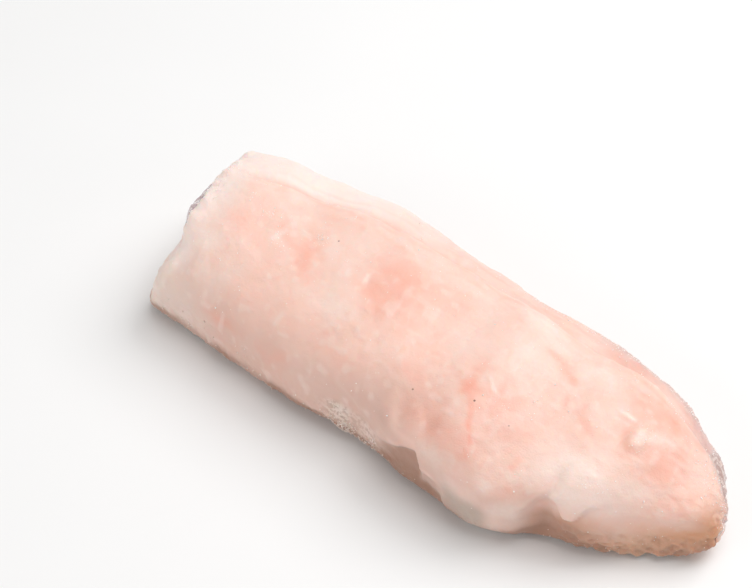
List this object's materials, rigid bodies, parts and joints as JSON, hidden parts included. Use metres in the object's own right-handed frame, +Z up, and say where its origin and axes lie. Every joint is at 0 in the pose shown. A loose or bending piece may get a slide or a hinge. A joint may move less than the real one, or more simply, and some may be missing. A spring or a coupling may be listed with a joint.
{
  "type": "hoki loin",
  "caption": "Frozen white fish loin, skinned and boned: a thick rounded back fillet, cut across at one end and tapering to a blunt tip, with frost on its surface.",
  "frame": {"origin": "middle of the loin's bounding box, on its flat underside", "axes": "+X from the cut end to the tip, -Y the near side whose lower edge hangs over in flakes, +Z up through the skin side"},
  "size_m": [0.19, 0.0794, 0.0371],
  "materials": {
    "flesh": "frozen white fish flesh, pale pinkish cream with salmon-pink blotches, moist sheen under a thin frost",
    "frost": "white frost crystals and crust, rough and sparkling",
    "ice": "thin clear greyish ice glaze, glossy"
  },
  "bodies": {
    "root": {"loin": "flesh"}
  },
  "joints": []
}
